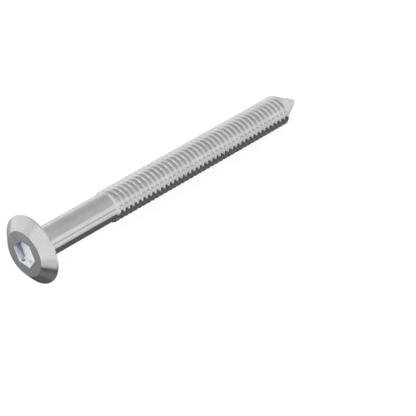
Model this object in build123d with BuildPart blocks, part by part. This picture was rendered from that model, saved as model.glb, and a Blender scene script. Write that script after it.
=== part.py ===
"""Furniture connector screw: bevelled disc head with a hex socket, conical collar, plain shank, machine thread
and conical point. It is one solid, laid down as it comes to rest, on its head rim and the end of its thread."""

import os
from math import atan2, ceil, cos, radians, sin, tan

from build123d import *

os.makedirs("parts", exist_ok=True)

# Driving dimensions: millimetres and degrees, with heights measured along the axis from the head's flat face
overall_length = 88.0
head_diameter = 16.6
face_diameter = 11.1
head_height = 2.55
rim_height = 0.38
rim_chamfer = 0.1
socket_width = 6.0
socket_depth = 1.85
socket_turn = 30.0
mouth_chamfer = 0.15
collar_diameter = 10.6
collar_height = 1.8
neck_chamfer = 0.4
shank_diameter = 7.1
plain_length = 24.6
thread_diameter = 7.9
thread_pitch = 1.411
thread_angle = 60.0
thread_turn = 37.4
crest_width = 0.84
point_length = 5.5
point_angle = 55.0
point_rounding = 0.77

# Sizes that follow
head_radius = head_diameter / 2
face_radius = face_diameter / 2
collar_radius = collar_diameter / 2
shank_radius = shank_diameter / 2
crest_radius = thread_diameter / 2
flank_slope = tan(radians(thread_angle / 2))
thread_depth = (thread_pitch - crest_width) / 2 / flank_slope
root_radius = crest_radius - thread_depth
run_out = crest_radius - shank_radius
point_slope = tan(radians(point_angle / 2))
ball_centre = overall_length - point_rounding
ball_edge_radius = point_rounding * cos(radians(point_angle / 2))
ball_edge_height = ball_centre + point_rounding * sin(radians(point_angle / 2))
thread_end = overall_length - point_length
thread_turns = ceil((thread_end - plain_length + thread_pitch) / thread_pitch)

# The thread's last flank runs down to the point's cone and meets it here
apex = ball_edge_height + ball_edge_radius / point_slope
point_start = (thread_end + (crest_radius - apex * point_slope) * flank_slope) / (1 - point_slope * flank_slope)
point_radius = (apex - point_start) * point_slope

# The screw without its thread, upright on the head's flat face, is one profile turned about the axis
with BuildPart() as blank:
    with BuildSketch(Plane.XZ) as profile:
        with BuildLine():
            Polyline(
                (0, 0),
                (face_radius, 0),
                (head_radius, head_height - rim_height),
                (head_radius, head_height),
                (collar_radius, head_height),
                (shank_radius, head_height + collar_height),
                (shank_radius, plain_length),
                (crest_radius, plain_length + run_out),
                (crest_radius, thread_end),
                (point_radius, point_start),
                (ball_edge_radius, ball_edge_height),
            )
            RadiusArc((ball_edge_radius, ball_edge_height), (0, overall_length), -point_rounding)
            Line((0, overall_length), (0, 0))
        make_face()
        rim = profile.vertices().group_by(Axis.X)[-1]
        chamfer(rim, rim_chamfer)
        neck = profile.vertices().sort_by_distance((shank_radius, 0, head_height + collar_height))[0]
        chamfer(neck, neck_chamfer)
    revolve(axis=Axis.Z)
    with BuildSketch(Plane.XY):
        RegularPolygon(socket_width / 2, 6, major_radius=False, rotation=socket_turn)
    extrude(amount=socket_depth, mode=Mode.SUBTRACT)
    mouth = blank.faces().sort_by(Axis.Z)[0].inner_wires()[0].edges()
    chamfer(mouth, mouth_chamfer)

# What the thread takes away: a V carried along a right-hand helix, which runs out past the thread's far end
groove_radius = crest_radius + thread_depth / 2
groove_half_width = (groove_radius - root_radius) * flank_slope
with BuildPart() as groove:
    with BuildLine() as helix:
        for turn in range(thread_turns):
            Helix(thread_pitch, thread_pitch, root_radius, center=(0, 0, plain_length + turn * thread_pitch))
    with BuildSketch(Plane.XZ):
        with BuildLine():
            Polyline(
                (root_radius, plain_length),
                (groove_radius, plain_length - groove_half_width),
                (groove_radius, plain_length + groove_half_width),
                close=True,
            )
        make_face()
    sweep(path=helix.line, is_frenet=True)
    # A cone holds the groove's first turn back, so that it deepens gradually
    with BuildSketch(Plane.XZ):
        with BuildLine():
            Polyline(
                (0, plain_length - thread_pitch),
                (groove_radius + run_out, plain_length - thread_pitch),
                (groove_radius + run_out, plain_length),
                (root_radius, plain_length + thread_pitch),
                (0, plain_length + thread_pitch),
                close=True,
            )
        make_face()
    revolve(axis=Axis.Z, mode=Mode.SUBTRACT)

# Lying down, the axis runs along +X and dips towards the point, with local +X turned up
tilt = atan2(head_radius - crest_radius, thread_end - head_height + rim_chamfer)
rest_height = (head_height - rim_chamfer) * sin(tilt) + head_radius * cos(tilt)
near_end = face_radius * sin(tilt)
far_end = ball_centre * cos(tilt) + point_rounding
lying = Plane(
    origin=((near_end - far_end) / 2, 0, rest_height),
    x_dir=(sin(tilt), 0, cos(tilt)),
    z_dir=(cos(tilt), 0, -sin(tilt)),
)
with BuildPart() as screw:
    with Locations(lying):
        add(blank.part)
        add(groove.part, rotation=(0, 0, thread_turn), mode=Mode.SUBTRACT)
screw.part.label = "screw"
export_step(screw.part, "parts/screw.step")
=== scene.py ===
"""The looks of a furniture connector screw: disc head with a hex socket, plain shank, thread and point."""

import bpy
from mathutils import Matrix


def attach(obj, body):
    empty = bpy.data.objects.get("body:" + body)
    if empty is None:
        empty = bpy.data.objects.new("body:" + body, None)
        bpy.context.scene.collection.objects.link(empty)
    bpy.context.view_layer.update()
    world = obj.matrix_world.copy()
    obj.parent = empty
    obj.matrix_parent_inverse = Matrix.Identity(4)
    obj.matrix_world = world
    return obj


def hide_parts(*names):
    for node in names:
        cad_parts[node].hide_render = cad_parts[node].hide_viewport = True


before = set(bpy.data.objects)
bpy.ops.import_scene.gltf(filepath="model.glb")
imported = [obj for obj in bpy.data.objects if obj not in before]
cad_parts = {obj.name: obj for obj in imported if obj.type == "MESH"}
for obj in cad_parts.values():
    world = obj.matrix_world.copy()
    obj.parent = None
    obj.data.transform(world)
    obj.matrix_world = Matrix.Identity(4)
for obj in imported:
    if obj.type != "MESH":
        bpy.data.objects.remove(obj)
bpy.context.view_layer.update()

import logging
import math
from collections.abc import Callable
from dataclasses import dataclass, field
from enum import Enum

import bpy
from mathutils import Matrix, Vector

log = logging.getLogger("scene")

MILLIMETRE = 0.001
NODE = "screw"
BODY = "root"

# How deep the finest marks in the plating are, in metres
MARK_DEPTH = 0.00001
WHITE = (1, 1, 1, 1)

Point = tuple[float, float]
Place = tuple[float, float, float]
Colour = tuple[float, float, float]
Socket = bpy.types.NodeSocket


class Working(Enum):
    """How a region of the screw was made, which decides the marks on it."""

    TURNED = 0
    ROLLED = 1
    PUNCHED_WALL = 2
    PUNCHED_FLOOR = 3


# Shaping tools


def deselect() -> None:
    """Leaves nothing selected."""
    bpy.ops.object.select_all(action="DESELECT")


def activate(piece: bpy.types.Object) -> None:
    """Makes one object the only selected and the active one.

    Args:
        piece: The object to work on.
    """
    deselect()
    piece.select_set(True)
    bpy.context.view_layer.objects.active = piece


def rounded(corners: list[Point], radii: dict[int, float], support: float, steps: int) -> list[Point]:
    """Rounds chosen corners of a profile.

    Args:
        corners: The profile's corners, each a radius and a height.
        radii: The rounding radius of each corner that has one, by its place in the list.
        support: How far from a rounding an extra point stands, which keeps flat faces flat in the shading.
        steps: Steps in each rounding.

    Returns:
        The points of the rounded profile.
    """
    points: list[Point] = []
    for index, corner in enumerate(corners):
        if index not in radii:
            points.append(corner)
            continue
        here = Vector(corner)
        back = (Vector(corners[index - 1]) - here).normalized()
        ahead = (Vector(corners[index + 1]) - here).normalized()
        half_angle = back.angle(ahead) / 2
        reach = radii[index] / math.tan(half_angle)
        centre = here + (back + ahead).normalized() * radii[index] / math.sin(half_angle)
        start, end = here + back * reach, here + ahead * reach
        points.append(tuple(here + back * (reach + support)))
        sweep = (start - centre).angle_signed(end - centre)
        for step in range(steps + 1):
            turn = Matrix.Rotation(-sweep * step / steps, 2)
            points.append(tuple(centre + turn @ (start - centre)))
        points.append(tuple(here + ahead * (reach + support)))
    return points


def draw_profile(name: str, points: list[Point]) -> bpy.types.Object:
    """Draws an open profile in the XZ plane by extruding one vertex from point to point.

    Args:
        name: The new object's name.
        points: The profile's points, each a radius and a height.

    Returns:
        The new object, left in edit mode with all its vertices selected.
    """
    deselect()
    bpy.ops.mesh.primitive_plane_add(size=1)
    piece = bpy.context.object
    piece.name = name
    bpy.ops.object.mode_set(mode="EDIT")
    bpy.ops.mesh.select_mode(type="VERT")
    bpy.ops.mesh.select_all(action="SELECT")
    bpy.ops.mesh.merge(type="CENTER")
    bpy.ops.transform.translate(value=(points[0][0], 0, points[0][1]))
    for (radius, height), (next_radius, next_height) in zip(points, points[1:]):
        move = (next_radius - radius, 0, next_height - height)
        bpy.ops.mesh.extrude_region_move(TRANSFORM_OT_translate={"value": move})
    bpy.ops.mesh.select_all(action="SELECT")
    return piece


def edit_parts(piece: bpy.types.Object, kind: str, chosen: Callable[..., bool]) -> None:
    """Enters edit mode with only some of an object's edges or faces selected.

    Args:
        piece: The active object, in object mode.
        kind: EDGE or FACE.
        chosen: Says of an edge or face whether it is selected.
    """
    bpy.ops.object.mode_set(mode="EDIT")
    bpy.ops.mesh.select_mode(type=kind)
    bpy.ops.mesh.select_all(action="DESELECT")
    bpy.ops.object.mode_set(mode="OBJECT")
    for part in piece.data.edges if kind == "EDGE" else piece.data.polygons:
        part.select = chosen(part)
    bpy.ops.object.mode_set(mode="EDIT")


def close_up(weld: float) -> None:
    """Merges doubles and turns the faces outwards, in edit mode, then leaves edit mode.

    Args:
        weld: The distance at which two vertices are one.
    """
    bpy.ops.mesh.select_all(action="SELECT")
    bpy.ops.mesh.remove_doubles(threshold=weld)
    bpy.ops.mesh.select_all(action="SELECT")
    bpy.ops.mesh.normals_make_consistent(inside=False)
    bpy.ops.object.mode_set(mode="OBJECT")
    faces = bpy.context.object.data.polygons
    if sum(face.center.dot(face.normal) * face.area for face in faces) < 0:
        bpy.ops.object.mode_set(mode="EDIT")
        bpy.ops.mesh.flip_normals()
        bpy.ops.object.mode_set(mode="OBJECT")


def turn_solid(name: str, points: list[Point], steps: int, weld: float) -> bpy.types.Object:
    """Spins a profile that starts and ends on the axis into a closed solid.

    Args:
        name: The new object's name.
        points: The profile's points, each a radius and a height.
        steps: Faces round the solid.
        weld: The distance at which two vertices are one.

    Returns:
        The solid.
    """
    piece = draw_profile(name, points)
    bpy.ops.mesh.spin(steps=steps, angle=2 * math.pi, center=(0, 0, 0), axis=(0, 0, 1))
    close_up(weld)
    return piece


def combine(piece: bpy.types.Object, tool: bpy.types.Object, operation: str) -> None:
    """Joins, cuts or trims a solid with another one, which is used up.

    Args:
        piece: The solid that stays.
        tool: The solid that is used up.
        operation: UNION, DIFFERENCE or INTERSECT.
    """
    activate(piece)
    bpy.ops.object.modifier_add(type="BOOLEAN")
    modifier = piece.modifiers[-1]
    modifier.operation = operation
    modifier.solver = "MANIFOLD"
    modifier.object = tool
    bpy.ops.object.modifier_apply(modifier=modifier.name)
    bpy.data.objects.remove(tool, do_unlink=True)


# The screw. It is modelled upright on its head's flat face in millimetres, then laid down and scaled to
# metres. Heights are measured along its axis from that face.


@dataclass(frozen=True)
class Detail:
    """How finely the surfaces are divided, in millimetres where it is a length.

    The support is how far a rounding's extra point stands from it, the weld and the sliver are lengths that
    count as nothing, and edges sharper than the smooth angle, in degrees, stay sharp.
    """

    round_steps: int = 88
    corner_steps: int = 4
    support: float = 0.03
    weld: float = 0.0005
    sliver: float = 0.0001
    smooth_angle: float = 30.0


@dataclass(frozen=True)
class HeadAndShank:
    """The forged head with its socket, the collar, and the plain shank with a ring before the thread.

    Past the ring the solid tapers to the fade radius, which shapes the thread's first groove.
    """

    detail: Detail
    face_radius: float = 5.55
    head_radius: float = 8.3
    head_height: float = 2.55
    rim_height: float = 0.38
    collar_radius: float = 5.3
    collar_height: float = 1.8
    shank_radius: float = 3.55
    plain_length: float = 24.6
    crest_radius: float = 3.95
    ring_width: float = 0.2
    fade_radius: float = 3.05
    fade_length: float = 0.8
    face_rounding: float = 0.12
    rim_rounding: float = 0.1
    collar_rounding: float = 0.12
    neck_rounding: float = 0.7
    ring_rounding: float = 0.12
    socket_width: float = 5.88
    socket_depth: float = 1.85
    socket_corner: float = 0.22
    mouth_chamfer: float = 0.06

    def build(self) -> bpy.types.Object:
        """Models the head and shank.

        Returns:
            The solid, which ends inside the threaded length.
        """
        run_out = self.crest_radius - self.shank_radius
        ring_end = self.plain_length + run_out + self.ring_width
        corners = [
            (0, 0),
            (self.face_radius, 0),
            (self.head_radius, self.head_height - self.rim_height),
            (self.head_radius, self.head_height),
            (self.collar_radius, self.head_height),
            (self.shank_radius, self.head_height + self.collar_height),
            (self.shank_radius, self.plain_length),
            (self.crest_radius, self.plain_length + run_out),
            (self.crest_radius, ring_end),
            (self.fade_radius, ring_end + self.fade_length),
            (0, ring_end + self.fade_length),
        ]
        radii = {
            1: self.face_rounding,
            2: self.rim_rounding,
            3: self.rim_rounding,
            4: self.collar_rounding,
            5: self.neck_rounding,
            6: self.ring_rounding,
            7: self.ring_rounding,
        }
        points = rounded(corners, radii, self.detail.support, self.detail.corner_steps)
        piece = turn_solid("head_and_shank", points, self.detail.round_steps, self.detail.weld)
        combine(piece, self.socket_punch(), "DIFFERENCE")
        return piece

    def socket_punch(self) -> bpy.types.Object:
        """Models the six-sided punch that leaves the socket and its chamfered mouth.

        Returns:
            The punch, which reaches out below the head's face.
        """
        corner_radius = self.socket_width / 2 / math.cos(math.pi / 6)
        body_length = self.socket_depth - self.mouth_chamfer
        deselect()
        bpy.ops.mesh.primitive_cylinder_add(
            vertices=6,
            radius=corner_radius,
            depth=body_length,
            location=(0, 0, self.mouth_chamfer + body_length / 2),
        )
        piece = bpy.context.object
        piece.name = "socket_punch"
        bpy.ops.object.transform_apply(location=True, rotation=True, scale=True)
        heights = [vertex.co.z for vertex in piece.data.vertices]
        edit_parts(piece, "EDGE", lambda edge: heights[edge.vertices[0]] != heights[edge.vertices[1]])
        bpy.ops.mesh.bevel(offset=self.socket_corner, segments=self.detail.corner_steps, affect="EDGES")
        bpy.ops.object.mode_set(mode="OBJECT")
        edit_parts(piece, "FACE", lambda face: face.normal.z < -0.5)
        # From the end at the mouth, the flare goes out past the face at the chamfer's slope
        flare = 2 * self.mouth_chamfer
        bpy.ops.mesh.extrude_region_move(TRANSFORM_OT_translate={"value": (0, 0, -flare)})
        grow = 1 + flare / (self.socket_width / 2)
        bpy.ops.transform.resize(value=(grow, grow, 1), center_override=(0, 0, 0))
        close_up(self.detail.weld)
        return piece


@dataclass(frozen=True)
class Thread:
    """The rolled right-hand machine thread and the conical point.

    The first groove is a height that one of the rod's grooves has. The envelope trims the rod, from the start
    to the last crest, where it turns in at the end angle, from a plane across the axis, to meet the point's
    cone. The core fills the last groove: it rises over the fade length to the cone at the core height.
    """

    detail: Detail
    crest_radius: float = 3.95
    pitch: float = 1.411
    depth: float = 0.87
    flank_angle: float = 30.0
    crest_width: float = 0.2
    crest_rounding: float = 0.12
    root_rounding: float = 0.15
    first_groove: float = 24.38
    lead_turns: int = 2
    turns: int = 49
    start: float = 25.05
    start_radius: float = 3.8
    clearance: float = 0.25
    last_crest: float = 81.95
    end_angle: float = 47.0
    core_height: float = 82.1
    fade_length: float = 0.9
    core_end: float = 83.4
    spare: float = 0.02
    overall_length: float = 88.0
    point_angle: float = 27.5
    point_rounding: float = 0.77

    def build(self) -> bpy.types.Object:
        """Models the threaded length and the point.

        Returns:
            The solid, which starts inside the ring at the shank's end.
        """
        piece = self.endless_thread()
        combine(piece, self.run_out_core(), "UNION")
        combine(piece, self.envelope(), "INTERSECT")
        return piece

    def cone_radius(self, height: float) -> float:
        """Returns the radius of the point's cone at a height."""
        edge = math.radians(self.point_angle)
        ball_centre = self.overall_length - self.point_rounding
        edge_height = ball_centre + self.point_rounding * math.sin(edge)
        return self.point_rounding * math.cos(edge) + (edge_height - height) * math.tan(edge)

    def run_out_core(self) -> bpy.types.Object:
        """Models the core that fills the groove's last turn and runs on as the point's cone.

        Returns:
            The core.
        """
        root = self.crest_radius - self.depth
        # Spare keeps the core's surfaces off the rod's and the envelope's, so that they cross cleanly
        points = [
            (0, self.core_height - self.pitch),
            (root - self.clearance, self.core_height - self.pitch),
            (root - self.spare, self.core_height - self.fade_length),
            (self.cone_radius(self.core_height) + self.spare, self.core_height),
            (self.cone_radius(self.core_end) + self.spare, self.core_end),
            (0, self.core_end),
        ]
        return turn_solid("run_out_core", points, self.detail.round_steps, self.detail.weld)

    def endless_thread(self) -> bpy.types.Object:
        """Models a threaded rod that reaches past both ends of the thread.

        Returns:
            The rod, closed at both ends.
        """
        flank_run = self.depth * math.tan(math.radians(self.flank_angle))
        root_width = self.pitch - self.crest_width - 2 * flank_run
        root_radius = self.crest_radius - self.depth
        low = self.first_groove - self.lead_turns * self.pitch
        widths = [0, root_width / 2, flank_run, self.crest_width, flank_run, root_width / 2]
        radii = [root_radius, root_radius, self.crest_radius, self.crest_radius, root_radius, root_radius]
        heights = [low + sum(widths[: index + 1]) for index in range(len(widths))]
        roundings = {
            1: self.root_rounding,
            2: self.crest_rounding,
            3: self.crest_rounding,
            4: self.root_rounding,
        }
        corners = list(zip(radii, heights))
        points = rounded(corners, roundings, self.detail.support / 2, self.detail.corner_steps - 1)
        piece = draw_profile("thread", points)
        bpy.ops.object.mode_set(mode="OBJECT")
        bpy.ops.object.modifier_add(type="SCREW")
        screw = piece.modifiers[-1]
        screw.axis = "Z"
        screw.angle = 2 * math.pi
        screw.screw_offset = self.pitch
        screw.iterations = self.turns
        screw.steps = screw.render_steps = self.detail.round_steps
        screw.use_merge_vertices = False
        bpy.ops.object.modifier_apply(modifier=screw.name)
        bpy.ops.object.mode_set(mode="EDIT")
        bpy.ops.mesh.select_all(action="SELECT")
        bpy.ops.mesh.remove_doubles(threshold=self.detail.weld)
        bpy.ops.mesh.select_all(action="SELECT")
        bpy.ops.mesh.fill_holes(sides=0)
        close_up(self.detail.weld)
        return piece

    def envelope(self) -> bpy.types.Object:
        """Models the solid that trims the rod: a stepped start, the last flank, and the cone with its tip.

        Returns:
            The envelope.
        """
        edge = math.radians(self.point_angle)
        slope = math.tan(edge)
        flank = math.tan(math.radians(self.end_angle))
        ball_centre = self.overall_length - self.point_rounding
        # Here the last crest's flank meets the cone
        step_in = (self.crest_radius - self.cone_radius(self.last_crest)) / (1 - slope * flank)
        point_start = self.last_crest + step_in * flank
        outside = self.crest_radius + self.clearance
        points = [
            (0, self.start),
            (self.start_radius, self.start),
            (outside, self.start + self.clearance),
            (outside, self.last_crest - self.clearance * flank),
            (self.cone_radius(point_start), point_start),
        ]
        ball_steps = 2 * self.detail.corner_steps
        for step in range(ball_steps):
            angle = edge + (math.pi / 2 - edge) * step / ball_steps
            points.append(
                (self.point_rounding * math.cos(angle), ball_centre + self.point_rounding * math.sin(angle))
            )
        points.append((0, self.overall_length))
        return turn_solid("thread_envelope", points, self.detail.round_steps, self.detail.weld)


@dataclass(frozen=True)
class Lying:
    """Where the screw lies: on its head's rim and on the last crest of its thread."""

    tilt: float = math.radians(3.11045)
    face_centre: Place = (-43.785, 0.0, 8.4207)

    def axes(self) -> Matrix:
        """Returns the turn that takes the upright screw's axes to the lying one's, as a 3 by 3 matrix."""
        up = Vector((math.sin(self.tilt), 0, math.cos(self.tilt)))
        along = Vector((math.cos(self.tilt), 0, -math.sin(self.tilt)))
        return Matrix((up, along.cross(up), along)).transposed()

    def place(self, piece: bpy.types.Object) -> None:
        """Lays the screw down, scales it from millimetres to metres, and applies both to its mesh.

        Args:
            piece: The upright screw.
        """
        activate(piece)
        piece.rotation_mode = "QUATERNION"
        piece.rotation_quaternion = self.axes().to_quaternion()
        piece.scale = (MILLIMETRE,) * 3
        piece.location = Vector(self.face_centre) * MILLIMETRE
        bpy.ops.object.transform_apply(location=True, rotation=True, scale=True)


# Surface effects, shared by the finishes


class Nodes:
    """A node tree under construction."""

    def __init__(self, tree: bpy.types.NodeTree) -> None:
        """Empties a tree.

        Args:
            tree: The tree to fill.
        """
        self.tree = tree
        tree.nodes.clear()

    def feed(self, node: bpy.types.Node, inputs: dict) -> bpy.types.Node:
        """Feeds a node's inputs, given as for add, and returns the node."""
        for key, value in inputs.items():
            if isinstance(value, Socket):
                self.tree.links.new(value, node.inputs[key])
            else:
                node.inputs[key].default_value = value
        return node

    def add(self, kind: str, inputs: dict | None = None, **settings: object) -> bpy.types.Node:
        """Adds a node, sets it up, and feeds its inputs.

        Args:
            kind: The node's type name.
            inputs: A number, a colour or another node's output socket for each input, by name or place.
            settings: The node's own settings.

        Returns:
            The node.
        """
        node = self.tree.nodes.new(kind)
        for name, value in settings.items():
            setattr(node, name, value)
        return self.feed(node, inputs or {})

    def math(self, operation: str, *values: object) -> Socket:
        """Adds a Math node and returns its output; values are numbers or output sockets."""
        return self.add("ShaderNodeMath", dict(enumerate(values)), operation=operation).outputs[0]

    def dot(self, vector: Socket, other: Place) -> Socket:
        """Adds the dot product of a vector and a fixed one, and returns its output."""
        product = self.add("ShaderNodeVectorMath", {0: vector, 1: other}, operation="DOT_PRODUCT")
        return product.outputs["Value"]

    def mix(self, share: Socket, first: Colour, second: Colour) -> Socket:
        """Adds a mix of two colours and returns its output."""
        inputs = {0: share, 6: (*first, 1), 7: (*second, 1)}
        return self.add("ShaderNodeMix", inputs, data_type="RGBA").outputs[2]

    def bump(self, height: Socket, strength: float) -> Socket:
        """Adds a bump of the finest marks' depth and returns its normal's output."""
        inputs = {"Strength": strength, "Distance": MARK_DEPTH, "Height": height}
        return self.add("ShaderNodeBump", inputs).outputs[0]

    def remap(self, value: Socket, low: float, high: float, to: Point = (0, 1)) -> Socket:
        """Eases a value from one range to another, smoothly at both ends.

        Args:
            value: The value.
            low: The value that becomes the first of the new range.
            high: The value that becomes the second.
            to: The new range.

        Returns:
            The output socket.
        """
        node = self.add(
            "ShaderNodeMapRange",
            {"Value": value, "From Min": low, "From Max": high, "To Min": to[0], "To Max": to[1]},
            interpolation_type="SMOOTHSTEP",
        )
        return node.outputs["Result"]

    def noise(self, vector: Socket, scale: float | Socket, detail: float) -> Socket:
        """Adds noise that reads a vector and returns its value's output."""
        node = self.add("ShaderNodeTexNoise", {"Vector": vector, "Scale": scale, "Detail": detail})
        return node.outputs[0]

    def group(self, tree: bpy.types.NodeTree, inputs: dict | None = None) -> bpy.types.Node:
        """Adds a node group and returns its node; inputs are as for add."""
        return self.add("ShaderNodeGroup", inputs, node_tree=tree)


def new_group(
    name: str, inputs: dict[str, float], outputs: list[str]
) -> tuple[Nodes, bpy.types.Node, bpy.types.Node]:
    """Makes an empty node group with number sockets.

    Args:
        name: The group's name.
        inputs: Each input's name and default.
        outputs: Each output's name.

    Returns:
        The group's nodes, its input node and its output node.
    """
    tree = bpy.data.node_groups.new(name, "ShaderNodeTree")
    for label, value in inputs.items():
        tree.interface.new_socket(label, in_out="INPUT", socket_type="NodeSocketFloat").default_value = value
    for label in outputs:
        tree.interface.new_socket(label, in_out="OUTPUT", socket_type="NodeSocketFloat")
    nodes = Nodes(tree)
    return nodes, nodes.add("NodeGroupInput"), nodes.add("NodeGroupOutput")


class SurfaceEffects:
    """The node groups that the finishes share.

    Rings and lines are read in millimetres about the screw's own axis, and the rest on Object coordinates.
    """

    RING_SCALES = (5.0, 16.0)
    COARSE_RINGS = 0.6
    LINE_SCALE = 22.0
    LINE_RUN = 0.012
    LEAST_RADIUS = 0.5
    SPECK_SCALE = 1500.0
    SPECK_RIM = (0.16, 0.05)
    SPECK_CELLS = (0.72, 0.78)
    SCRATCH_TURNS = ((0.4, 1.1, 0.3), (1.3, 0.2, 2.1))
    SCRATCH_SCALE = (900, 900, 60)
    SCRATCH_PATCHES = 420.0
    SCRATCHED = (0.56, 0.66)
    SCRATCH_RIM = (0.008, 0.001)

    def __init__(self, lying: Lying) -> None:
        """Makes the groups.

        Args:
            lying: Where the screw lies, and so where its axis runs.
        """
        self.lying = lying
        self.axis = self.axis_group()
        self.rings = self.rings_group()
        self.lines = self.lines_group()
        self.clouds = self.clouds_group()
        self.handling = self.handling_group()

    def axis_group(self) -> bpy.types.NodeTree:
        """Makes the group that gives a point's height along the axis, its radius, and its two sides across.

        Returns:
            The group.
        """
        nodes, _, out = new_group("axis_coordinates", {}, ["Height", "Radius", "Up", "Side"])
        place = nodes.add("ShaderNodeTexCoord").outputs["Object"]
        origin = tuple(value * MILLIMETRE for value in self.lying.face_centre)
        offset = nodes.add("ShaderNodeVectorMath", {0: place, 1: origin}, operation="SUBTRACT").outputs[0]
        up, side, height = (
            nodes.dot(offset, tuple(direction / MILLIMETRE)) for direction in self.lying.axes().transposed()
        )
        square = nodes.math("MULTIPLY_ADD", side, side, nodes.math("MULTIPLY", up, up))
        nodes.feed(out, {"Height": height, "Radius": nodes.math("SQRT", square), "Up": up, "Side": side})
        return nodes.tree

    def rings_group(self) -> bpy.types.NodeTree:
        """Makes the group of fine turning marks, rings about the axis that the tool left.

        Returns:
            The group.
        """
        nodes, inputs, out = new_group("turning_rings", {"Radius": 0, "Height": 0}, ["Ring"])
        along = nodes.add(
            "ShaderNodeCombineXYZ", {0: inputs.outputs["Radius"], 1: inputs.outputs["Height"]}
        ).outputs[0]
        coarse_scale, fine_scale = self.RING_SCALES
        coarse = nodes.math("MULTIPLY", nodes.noise(along, coarse_scale, 1.0), self.COARSE_RINGS)
        fine = nodes.math("MULTIPLY", nodes.noise(along, fine_scale, 2.0), 1 - self.COARSE_RINGS)
        nodes.feed(out, {"Ring": nodes.math("ADD", coarse, fine)})
        return nodes.tree

    def lines_group(self) -> bpy.types.NodeTree:
        """Makes the group of drawn lines, which run along the axis on the wire that the screw was made from.

        Returns:
            The group.
        """
        names = {"Up": 0, "Side": 0, "Height": 0, "Radius": 1}
        nodes, inputs, out = new_group("drawn_lines", names, ["Line"])
        radius = nodes.math("MAXIMUM", inputs.outputs["Radius"], self.LEAST_RADIUS)
        up = nodes.math("DIVIDE", inputs.outputs["Up"], radius)
        side = nodes.math("DIVIDE", inputs.outputs["Side"], radius)
        run = nodes.math("MULTIPLY", inputs.outputs["Height"], self.LINE_RUN)
        round_it = nodes.add("ShaderNodeCombineXYZ", {0: up, 1: side, 2: run}).outputs[0]
        nodes.feed(out, {"Line": nodes.noise(round_it, self.LINE_SCALE, 3.0)})
        return nodes.tree

    def clouds_group(self) -> bpy.types.NodeTree:
        """Makes the group of soft patches in the plating, some brighter and some duller.

        Returns:
            The group.
        """
        nodes, inputs, out = new_group("plating_clouds", {"Scale": 260.0}, ["Cloud", "Speck"])
        place = nodes.add("ShaderNodeTexCoord").outputs["Object"]
        cloud = nodes.noise(place, inputs.outputs["Scale"], 3.0)
        cells = nodes.add("ShaderNodeTexVoronoi", {"Vector": place, "Scale": self.SPECK_SCALE})
        speck = nodes.remap(cells.outputs["Distance"], *self.SPECK_RIM)
        # About one cell in four keeps its speck
        keep = nodes.remap(cells.outputs["Color"], *self.SPECK_CELLS)
        nodes.feed(out, {"Cloud": cloud, "Speck": nodes.math("MULTIPLY", speck, keep)})
        return nodes.tree

    def handling_group(self) -> bpy.types.NodeTree:
        """Makes the group of hairline scratches from loose packing.

        Returns:
            The group.
        """
        nodes, inputs, out = new_group("hairline_scratches", {"Amount": 1.0}, ["Scratch"])
        place = nodes.add("ShaderNodeTexCoord").outputs["Object"]
        patches = nodes.remap(nodes.noise(place, self.SCRATCH_PATCHES, 0.0), *self.SCRATCHED)
        total: Socket | float = 0.0
        for turn in self.SCRATCH_TURNS:
            turned = nodes.add(
                "ShaderNodeMapping", {"Vector": place, "Rotation": turn, "Scale": self.SCRATCH_SCALE}
            )
            # A scratch runs where the stretched noise crosses its middle value
            middle = nodes.math("SUBTRACT", nodes.noise(turned.outputs[0], 1.0, 1.0), 0.5)
            line = nodes.remap(nodes.math("ABSOLUTE", middle), *self.SCRATCH_RIM)
            total = nodes.math("MULTIPLY_ADD", line, patches, total)
        scaled = nodes.math("MULTIPLY", nodes.math("MINIMUM", total, 1.0), inputs.outputs["Amount"])
        nodes.feed(out, {"Scratch": scaled})
        return nodes.tree


@dataclass(frozen=True)
class ZincFinish:
    """Bright zinc plate on steel, with the marks of one way of working.

    The shade between dull and bright follows the plating's clouds, for their share, and the working's marks.
    Polish and depth say how much specks and scratches smooth the plate and how far they go into it.
    """

    name: str
    working: Working
    roughness: tuple[float, float]
    ring_bump: float
    line_bump: float
    cloud_scale: float
    scratches: float
    dull: Colour = (0.68, 0.69, 0.705)
    bright: Colour = (0.76, 0.77, 0.785)
    cloud_share: float = 0.6
    contrast: tuple[float, float] = (0.3, 0.7)
    polish: float = 0.1
    depth: float = 0.25
    relief: float = 0.12

    def material(self, effects: SurfaceEffects) -> bpy.types.Material:
        """Makes the material.

        Args:
            effects: The shared node groups.

        Returns:
            The material.
        """
        made = bpy.data.materials.new(self.name)
        made.use_nodes = True
        nodes = Nodes(made.node_tree)
        axis = nodes.group(effects.axis).outputs
        rings = nodes.group(effects.rings, {name: axis[name] for name in ("Radius", "Height")}).outputs[0]
        lines = nodes.group(effects.lines, {socket.name: socket for socket in axis}).outputs[0]
        clouds = nodes.group(effects.clouds, {"Scale": self.cloud_scale}).outputs
        scratch = nodes.group(effects.handling, {"Amount": self.scratches}).outputs[0]

        marks = rings if self.working is Working.TURNED else lines
        marks = nodes.math("MULTIPLY", marks, 1 - self.cloud_share)
        shade = nodes.math("MULTIPLY_ADD", clouds["Cloud"], self.cloud_share, marks)
        colour = nodes.mix(nodes.remap(shade, *self.contrast), self.dull, self.bright)
        worn = nodes.math("MAXIMUM", clouds["Speck"], scratch)
        uneven = nodes.math("SUBTRACT", clouds["Cloud"], nodes.math("MULTIPLY", worn, self.polish))
        rough = nodes.remap(uneven, *self.contrast, self.roughness)
        height = nodes.math("MULTIPLY", lines, self.line_bump)
        height = nodes.math("MULTIPLY_ADD", rings, self.ring_bump, height)
        height = nodes.math("SUBTRACT", height, nodes.math("MULTIPLY", worn, self.depth))
        bump = nodes.bump(height, self.relief)
        shader = nodes.add(
            "ShaderNodeBsdfPrincipled",
            {"Base Color": colour, "Roughness": rough, "Metallic": 1.0, "Normal": bump},
        )
        nodes.add("ShaderNodeOutputMaterial", {"Surface": shader.outputs[0]})
        return made


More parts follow.
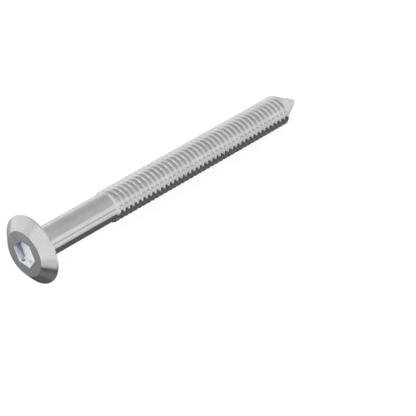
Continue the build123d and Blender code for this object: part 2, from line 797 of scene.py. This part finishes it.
@dataclass(frozen=True)
class ShadeSpot:
    """A spot of painted shade at a corner or edge of the socket, placed in the screw's own axes, in
    millimetres.
    """

    up: float
    side: float
    height: float
    reach: float
    darkening: float


@dataclass(frozen=True)
class SocketFinishAndPaintedShade:
    """Milky blue passivated zinc inside the socket, with painted shade in its upper corners and deep down,
    and painted light lower down and at the mouth.

    The shade runs from 0, dark, to 1, light, and is painted shade and light. To its base come changes for
    each millimetre below the axis, for all that is above it, for the right side, at the mouth, and on the
    lowest wall.
    """

    name: str
    dark: Colour
    light: Colour
    base: float
    below: float
    above: float
    right: float
    mouth: float
    lowest: float
    specular: float
    shade_spots: tuple[ShadeSpot, ...] = ()
    shade_spot_core: float = 0.15
    socket_depth: float = 1.85
    above_edge: float = 0.25
    side_edge: float = 1.0
    lowest_wall: float = -2.85
    lowest_edge: float = 0.1
    stain: float = 0.07
    stain_scale: float = 900.0
    stain_contrast: tuple[float, float] = (0.3, 0.7)
    roughness: float = 0.2
    relief: float = 0.2

    def material(self, effects: SurfaceEffects) -> bpy.types.Material:
        """Makes the material.

        Args:
            effects: The shared node groups.

        Returns:
            The material.
        """
        made = bpy.data.materials.new(self.name)
        made.use_nodes = True
        nodes = Nodes(made.node_tree)
        axis = nodes.group(effects.axis).outputs
        clouds = nodes.group(effects.clouds, {"Scale": self.stain_scale}).outputs
        lines = nodes.group(effects.lines, {socket.name: socket for socket in axis}).outputs[0]
        up, side, height = axis["Up"], axis["Side"], axis["Height"]
        # Painted shade and light: darker above the axis and deep in the socket, lighter below it, to the
        # right, at the mouth and on the lowest wall
        shade = nodes.math("MULTIPLY_ADD", nodes.math("MINIMUM", up, 0.0), -self.below, self.base)
        shade = nodes.math("ADD", shade, nodes.remap(up, 0.0, self.above_edge, (0.0, self.above)))
        rightward = nodes.remap(side, -self.side_edge, self.side_edge, (0.0, self.right))
        shade = nodes.math("ADD", shade, rightward)
        near_mouth = nodes.math("SUBTRACT", 1.0, nodes.math("DIVIDE", height, self.socket_depth))
        shade = nodes.math("MULTIPLY_ADD", near_mouth, self.mouth, shade)
        lowest = nodes.remap(up, self.lowest_wall + self.lowest_edge, self.lowest_wall, (0.0, self.lowest))
        shade = nodes.add("ShaderNodeClamp", {0: nodes.math("ADD", shade, lowest)}).outputs[0]
        place = nodes.add("ShaderNodeCombineXYZ", {0: up, 1: side, 2: height}).outputs[0]
        # Each spot is painted shade, darkest at its middle, at a corner or along an edge of the socket
        for shade_spot in self.shade_spots:
            middle = (shade_spot.up, shade_spot.side, shade_spot.height)
            away = nodes.add("ShaderNodeVectorMath", {0: place, 1: middle}, operation="DISTANCE")
            core = shade_spot.reach * self.shade_spot_core
            spot_darkening = nodes.remap(away.outputs["Value"], shade_spot.reach, core, (0.0, shade_spot.darkening))
            shade = nodes.math("SUBTRACT", shade, spot_darkening)
        stain = nodes.remap(clouds["Cloud"], *self.stain_contrast, (-self.stain, self.stain))
        shade = nodes.add("ShaderNodeClamp", {0: nodes.math("ADD", shade, stain)}).outputs[0]
        bump = nodes.bump(lines, self.relief)
        shader = nodes.add(
            "ShaderNodeBsdfPrincipled",
            {
                "Base Color": nodes.mix(shade, self.dark, self.light),
                "Roughness": self.roughness,
                "Specular IOR Level": self.specular,
                "Normal": bump,
            },
        )
        nodes.add("ShaderNodeOutputMaterial", {"Surface": shader.outputs[0]})
        return made


# The finishes stand in the order of the workings
FINISHES = (
    ZincFinish(
        "zinc_turned",
        Working.TURNED,
        roughness=(0.08, 0.12),
        ring_bump=1.0,
        line_bump=0.0,
        cloud_scale=260.0,
        scratches=0.6,
    ),
    ZincFinish(
        "zinc_rolled",
        Working.ROLLED,
        roughness=(0.05, 0.08),
        ring_bump=0.15,
        line_bump=1.0,
        cloud_scale=240.0,
        scratches=0.8,
    ),
    # Socket walls: painted shade in the upper corners and deep down, painted light lower down, at the mouth
    # and on the lowest wall
    SocketFinishAndPaintedShade(
        "zinc_socket_wall_painted_shade",
        dark=(0.05, 0.10, 0.20),
        light=(0.98, 0.99, 1.0),
        base=0.02,
        below=0.09,
        above=-0.2,
        right=0.9,
        mouth=0.62,
        lowest=0.6,
        specular=0.15,
        # Two spots of painted shade: near the corner of the left and lowest walls, and along the lowest
        # wall's edge at the floor
        shade_spots=(ShadeSpot(-2.94, -1.3, 0.85, 0.75, 1.0), ShadeSpot(-2.94, 0.25, 1.75, 0.7, 0.45)),
    ),
    # Socket floor: painted shade, a little darker above the axis, and painted light, lighter below it
    SocketFinishAndPaintedShade(
        "zinc_socket_floor_painted_shade",
        dark=(0.9, 0.95, 1.0),
        light=(1.0, 1.0, 1.0),
        base=0.4,
        below=0.2,
        above=-0.3,
        right=0.0,
        mouth=0.0,
        lowest=0.0,
        specular=0.5,
    ),
)


@dataclass(frozen=True)
class Screw:
    """The whole screw: one solid, with its finishes.

    The socket's faces are told from the others by their place: within its reach of the axis, past the skin of
    the head's face.
    """

    detail: Detail = field(default_factory=Detail)
    lying: Lying = field(default_factory=Lying)
    socket_reach: float = 3.62
    skin: float = 0.02

    def build(self) -> bpy.types.Object:
        """Models the screw upright and lays it down.

        Returns:
            The finished piece.
        """
        head = HeadAndShank(self.detail)
        piece = head.build()
        combine(piece, Thread(self.detail).build(), "UNION")
        piece.name = "screw_plated"
        piece.data.name = "screw_plated"
        activate(piece)
        # The solver leaves slivers where surfaces cross
        bpy.ops.object.mode_set(mode="EDIT")
        bpy.ops.mesh.select_all(action="SELECT")
        bpy.ops.mesh.dissolve_degenerate(threshold=self.detail.sliver)
        bpy.ops.object.mode_set(mode="OBJECT")
        bpy.ops.object.shade_smooth_by_angle(angle=math.radians(self.detail.smooth_angle))
        self.dress(piece, head)
        self.lying.place(piece)
        return piece

    def dress(self, piece: bpy.types.Object, head: HeadAndShank) -> None:
        """Gives each face of the upright screw its finish.

        Args:
            piece: The screw.
            head: The head's sizes.
        """
        effects = SurfaceEffects(self.lying)
        piece.data.materials.clear()
        for finish in FINISHES:
            piece.data.materials.append(finish.material(effects))
        head_end = head.head_height + head.collar_height
        for face in piece.data.polygons:
            centre = face.center
            radius = math.hypot(centre.x, centre.y)
            if radius < self.socket_reach and abs(centre.z - head.socket_depth) < self.skin:
                working = Working.PUNCHED_FLOOR
            elif radius < self.socket_reach and self.skin < centre.z < head.socket_depth:
                working = Working.PUNCHED_WALL
            elif centre.z < head_end:
                working = Working.TURNED
            else:
                working = Working.ROLLED
            face.material_index = working.value


# The table, the light and the camera


@dataclass(frozen=True)
class Viewpoint:
    """The camera, given by what it sees.

    It looks down at its elevation, and the share across of the screw's length runs to its right. The head's
    face centre is seen at so much right, down and ahead, times the distance.
    """

    lens: float = 162.73
    sensor: float = 36.0
    elevation: float = math.radians(39.29)
    across: float = 0.69386
    seen_face: Place = (-0.097714, 0.024406, 1.0)
    distance: float = 0.40989
    clip_start: float = 0.01

    def build(self, lying: Lying) -> bpy.types.Object:
        """Sets the camera up.

        Args:
            lying: Where the screw lies.

        Returns:
            The camera.
        """
        heading = math.asin(self.across / math.cos(lying.tilt))
        flat = math.cos(self.elevation)
        ahead = Vector((flat * math.cos(heading), flat * math.sin(heading), -math.sin(self.elevation)))
        right = Vector((math.sin(heading), -math.cos(heading), 0))
        up = right.cross(ahead)
        x, y, z = (value * self.distance for value in self.seen_face)
        place = Vector(lying.face_centre) * MILLIMETRE - (x * right - y * up + z * ahead)
        bpy.ops.object.camera_add(location=place)
        camera = bpy.context.object
        camera.rotation_mode = "QUATERNION"
        camera.rotation_quaternion = Matrix((right, up, -ahead)).transposed().to_quaternion()
        camera.data.lens = self.lens
        camera.data.sensor_width = self.sensor
        camera.data.clip_start = self.clip_start
        bpy.context.scene.camera = camera
        return camera


@dataclass(frozen=True)
class Panel:
    """A soft round panel in the light tent, in degrees, which brightens or dims what is behind it."""

    azimuth: float
    elevation: float
    radius: float
    softness: float
    level: float

    def shine(self, nodes: Nodes, way: Socket) -> Socket:
        """Adds the panel to the tent.

        Args:
            nodes: The world's nodes.
            way: The direction that is looked in.

        Returns:
            How much brighter or darker the panel makes that direction.
        """
        heading, height = math.radians(self.azimuth), math.radians(self.elevation)
        flat = math.cos(height)
        middle = (flat * math.cos(heading), flat * math.sin(heading), math.sin(height))
        away = nodes.math("ARCCOSINE", nodes.dot(way, middle))
        outer, inner = math.radians(self.radius + self.softness), math.radians(self.radius - self.softness)
        return nodes.remap(away, outer, inner, (1.0, self.level))


# Each panel's azimuth, elevation, radius, softness and level
PANELS = (
    Panel(11, 68, 53, 4.3, 0.83),
    Panel(-69, 16, 13, 10.5, 1.62),
    Panel(8, 22, 30, 10.0, 0.63),
    Panel(-72, -18, 14, 6.5, 1.56),
    Panel(134, -4, 19, 24.6, 1.49),
    Panel(-137, 33, 54, 6.3, 1.27),
    Panel(80, 4, 15, 24.3, 1.92),
    Panel(168, 5, 11, 2.1, 2.00),
    Panel(-73, -42, 8, 3.3, 2.20),
    Panel(-59, 46, 12, 1.5, 1.15),
    Panel(1, 21, 30, 1.5, 1.94),
    Panel(92, -43, 22, 1.5, 0.66),
    Panel(-160, -39, 4, 3.8, 0.06),
    Panel(-153, -68, 14, 7.0, 1.68),
    Panel(-154, -41, 4, 1.5, 2.20),
    Panel(-167, -38, 4, 1.5, 2.20),
    Panel(15, -15, 11, 2.4, 1.18),
    Panel(30, -2, 9, 4.3, 1.30),
    Panel(-6, -21, 11, 3.6, 1.24),
)


@dataclass(frozen=True)
class Studio:
    """A pale table in a light tent, dark below the table's edge.

    The table gives its colour to the light that falls on the screw, and shows the camera its own glow with a
    faint shadow. The tent is as bright as its wall, or as what is under its edge, a height on a slanted axis.
    The edge drops towards the open side, and a dark seam runs along one side of the wall.
    """

    floor_size: float = 4.0
    floor_colour: Colour = (0.8, 0.8, 0.8)
    floor_seen: Colour = (0.22, 0.22, 0.22)
    floor_glow: float = 0.86
    wall: float = 0.694
    under: float = 0.119
    edge: float = -0.574
    edge_softness: float = 0.085
    edge_slant: Place = (-0.041, -0.048, 1.0)
    open_side: Place = (0.773, 0.634, 0.0)
    open_range: tuple[float, float] = (0.500, 0.740)
    open_drop: float = 0.087
    seam_height: float = -0.052
    seam_width: float = 0.037
    seam_core: float = 0.3
    seam_depth: float = 0.670
    seam_side: Place = (0.59, -0.81, 0.0)
    seam_range: tuple[float, float] = (0.5, 0.8)

    def build(self) -> None:
        """Sets up the floor and the light round it."""
        self.floor()
        self.world()
        bpy.context.scene.view_settings.view_transform = "Standard"

    def floor(self) -> None:
        """Lays the table top, white to the camera but for the screw's shadow."""
        deselect()
        bpy.ops.mesh.primitive_plane_add(size=self.floor_size)
        floor = bpy.context.object
        floor.name = "table_top"
        floor.visible_glossy = False
        made = bpy.data.materials.new("table_top")
        made.use_nodes = True
        nodes = Nodes(made.node_tree)
        matt = nodes.add("ShaderNodeBsdfDiffuse", {"Color": (*self.floor_colour, 1)}).outputs[0]
        faint = nodes.add("ShaderNodeBsdfDiffuse", {"Color": (*self.floor_seen, 1)}).outputs[0]
        glow = nodes.add("ShaderNodeEmission", {"Color": WHITE, "Strength": self.floor_glow}).outputs[0]
        seen = nodes.add("ShaderNodeAddShader", {0: faint, 1: glow}).outputs[0]
        camera_ray = nodes.add("ShaderNodeLightPath").outputs["Is Camera Ray"]
        both = nodes.add("ShaderNodeMixShader", {0: camera_ray, 1: matt, 2: seen}).outputs[0]
        nodes.add("ShaderNodeOutputMaterial", {"Surface": both})
        floor.data.materials.append(made)

    def world(self) -> None:
        """Lights the table all round: the tent for reflections, and plain white for everything else."""
        world = bpy.data.worlds.new("light_tent")
        bpy.context.scene.world = world
        world.use_nodes = True
        nodes = Nodes(world.node_tree)
        way = nodes.add("ShaderNodeTexCoord").outputs["Generated"]
        drop = nodes.remap(nodes.dot(way, self.open_side), *self.open_range, (0.0, self.open_drop))
        slanted = nodes.math("ADD", nodes.dot(way, self.edge_slant), drop)
        low, high = self.edge - self.edge_softness, self.edge + self.edge_softness
        tent = nodes.remap(slanted, low, high, (self.under, self.wall))
        height = nodes.add("ShaderNodeSeparateXYZ", {0: way}).outputs[2]
        from_seam = nodes.math("ABSOLUTE", nodes.math("SUBTRACT", height, self.seam_height))
        core = self.seam_width * self.seam_core
        seam = nodes.remap(from_seam, self.seam_width, core, (0.0, self.seam_depth))
        seam = nodes.math("MULTIPLY", seam, nodes.remap(nodes.dot(way, self.seam_side), *self.seam_range))
        tent = nodes.math("MULTIPLY", tent, nodes.math("SUBTRACT", 1.0, seam))
        for panel in PANELS:
            tent = nodes.math("MULTIPLY", tent, panel.shine(nodes, way))
        glossy = nodes.add("ShaderNodeLightPath").outputs["Is Glossy Ray"]
        strength = nodes.add("ShaderNodeMix", {0: glossy, 2: 1.0, 3: tent}, data_type="FLOAT").outputs[0]
        background = nodes.add("ShaderNodeBackground", {"Color": WHITE, "Strength": strength})
        nodes.add("ShaderNodeOutputWorld", {"Surface": background.outputs[0]})


def main() -> None:
    """Builds the screw, its table and the camera."""
    screw = Screw()
    piece = screw.build()
    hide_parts(NODE)
    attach(piece, BODY)
    log.info("%s: %d faces", piece.name, len(piece.data.polygons))
    Studio().build()
    log.info("studio: table top and light tent")
    camera = Viewpoint().build(screw.lying)
    log.info("camera at %s", tuple(round(value, 4) for value in camera.location))


if __name__ == "__main__":
    logging.basicConfig(level=logging.INFO, format="%(name)s: %(message)s")
    main()
